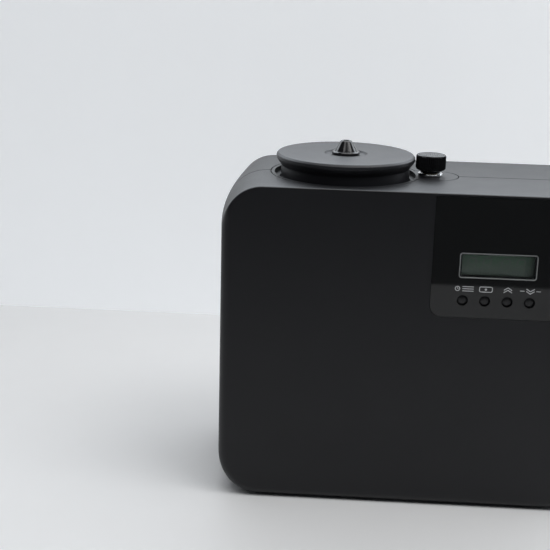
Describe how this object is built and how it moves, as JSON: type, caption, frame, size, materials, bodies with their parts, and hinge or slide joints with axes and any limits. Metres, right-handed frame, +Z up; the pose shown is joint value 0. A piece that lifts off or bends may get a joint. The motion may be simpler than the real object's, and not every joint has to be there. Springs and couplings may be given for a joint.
{
  "type": "scent diffuser",
  "caption": "Tabletop scent diffuser: rounded black housing, lift-out bottle under a round cap with spray nozzle, flow knob, display and push buttons.",
  "frame": {"origin": "bottom centre of the housing, on the plane the feet stand on", "axes": "+X to the right along the width, +Y to the rear, +Z up; the control panel faces -Y"},
  "size_m": [0.214, 0.0966, 0.1982],
  "materials": {
    "shell_plastic": "satin black ABS, fine moulded texture",
    "steel": "zinc-plated",
    "rubber": "matte black",
    "clear_plastic": "natural translucent",
    "gloss_plastic": "high-gloss black",
    "bottle_metal": "brushed",
    "chrome": "polished",
    "brass": "turned",
    "frame_line": "light grey printed edge",
    "window": "clear",
    "display": "unlit grey-green display",
    "moulded_parts": "natural moulding",
    "circuit_board": "green solder mask",
    "pump_plastic": "dark grey moulding",
    "lead_jacket": "red jacket"
  },
  "bodies": {
    "housing": {"front_shell": "shell_plastic", "rear_shell": "shell_plastic", "case_screw_1": "steel", "case_screw_2": "steel", "case_screw_3": "steel", "case_screw_4": "steel", "rubber_foot_1": "rubber", "rubber_foot_2": "rubber", "rubber_foot_3": "rubber", "rubber_foot_4": "rubber", "top_insert": "shell_plastic", "bottle_sleeve": "clear_plastic", "valve_body": "brass", "valve_nut": "chrome", "control_panel": "gloss_plastic", "display_frame": "frame_line", "display_window": "window", "lcd_cell": "display", "lcd_holder": "moulded_parts", "control_board": "circuit_board", "tact_switch_mode": "moulded_parts", "tact_switch_set": "moulded_parts", "tact_switch_up": "moulded_parts", "tact_switch_down": "moulded_parts", "board_screw_1": "steel", "board_screw_2": "steel", "pump_tray": "steel", "rubber_mount_1": "rubber", "rubber_mount_2": "rubber", "rubber_mount_3": "rubber", "rubber_mount_4": "rubber", "pump_frame": "pump_plastic", "pump_motor": "steel", "pump_yoke": "moulded_parts", "diaphragm": "rubber", "pump_head": "pump_plastic", "intake_filter": "moulded_parts", "pump_hose": "clear_plastic", "valve_hose": "clear_plastic", "jack_lead": "lead_jacket", "motor_lead": "lead_jacket", "dc_jack": "moulded_parts", "jack_nut": "steel"},
    "cartridge": {"bottle": "bottle_metal"},
    "neck_gasket": {"bottle_gasket": "rubber"},
    "cap": {"cap": "shell_plastic", "cap_seal_lower": "rubber", "cap_seal_upper": "rubber", "atomiser": "bottle_metal", "nozzle": "gloss_plastic", "dip_tube": "clear_plastic"},
    "flow_knob": {"flow_knob": "gloss_plastic", "valve_spindle": "steel"},
    "pump_crank": {"motor_shaft": "steel", "eccentric": "brass"},
    "button_mode": {"button_mode": "gloss_plastic"},
    "button_set": {"button_set": "gloss_plastic"},
    "button_up": {"button_up": "gloss_plastic"},
    "button_down": {"button_down": "gloss_plastic"}
  },
  "joints": [
    {"name": "cartridge_lift", "type": "slide", "parent": "housing", "child": "cartridge", "axis": [0, 0, 1], "range_m": [0, 0.175]},
    {"name": "cap_unscrew", "type": "hinge", "parent": "cartridge", "child": "neck_gasket", "pos_m": [-0.039, 0, 0.164], "axis": [0, 0, 1], "range_deg": [0, 450]},
    {"name": "cap_rise", "type": "slide", "parent": "neck_gasket", "child": "cap", "axis": [0, 0, 1], "range_m": [0, 0.004]},
    {"name": "knob_turn", "type": "hinge", "parent": "housing", "child": "flow_knob", "pos_m": [0.0089, 0, 0.186], "axis": [0, 0, 1], "range_deg": [0, 270]},
    {"name": "crank_spin", "type": "hinge", "parent": "housing", "child": "pump_crank", "pos_m": [0.0316, 0.008, 0.046], "axis": [1, 0, 0], "continuous": true},
    {"name": "mode_press", "type": "slide", "parent": "housing", "child": "button_mode", "axis": [0, 1, 0], "range_m": [0, 0.0005], "stiffness_N_per_m": 400},
    {"name": "set_press", "type": "slide", "parent": "housing", "child": "button_set", "axis": [0, 1, 0], "range_m": [0, 0.0005], "stiffness_N_per_m": 400},
    {"name": "up_press", "type": "slide", "parent": "housing", "child": "button_up", "axis": [0, 1, 0], "range_m": [0, 0.0005], "stiffness_N_per_m": 400},
    {"name": "down_press", "type": "slide", "parent": "housing", "child": "button_down", "axis": [0, 1, 0], "range_m": [0, 0.0005], "stiffness_N_per_m": 400}
  ],
  "couplings": [
    {"joint": "cap_rise", "follows": "cap_unscrew", "m_per_rad": 0.00047746}
  ]
}
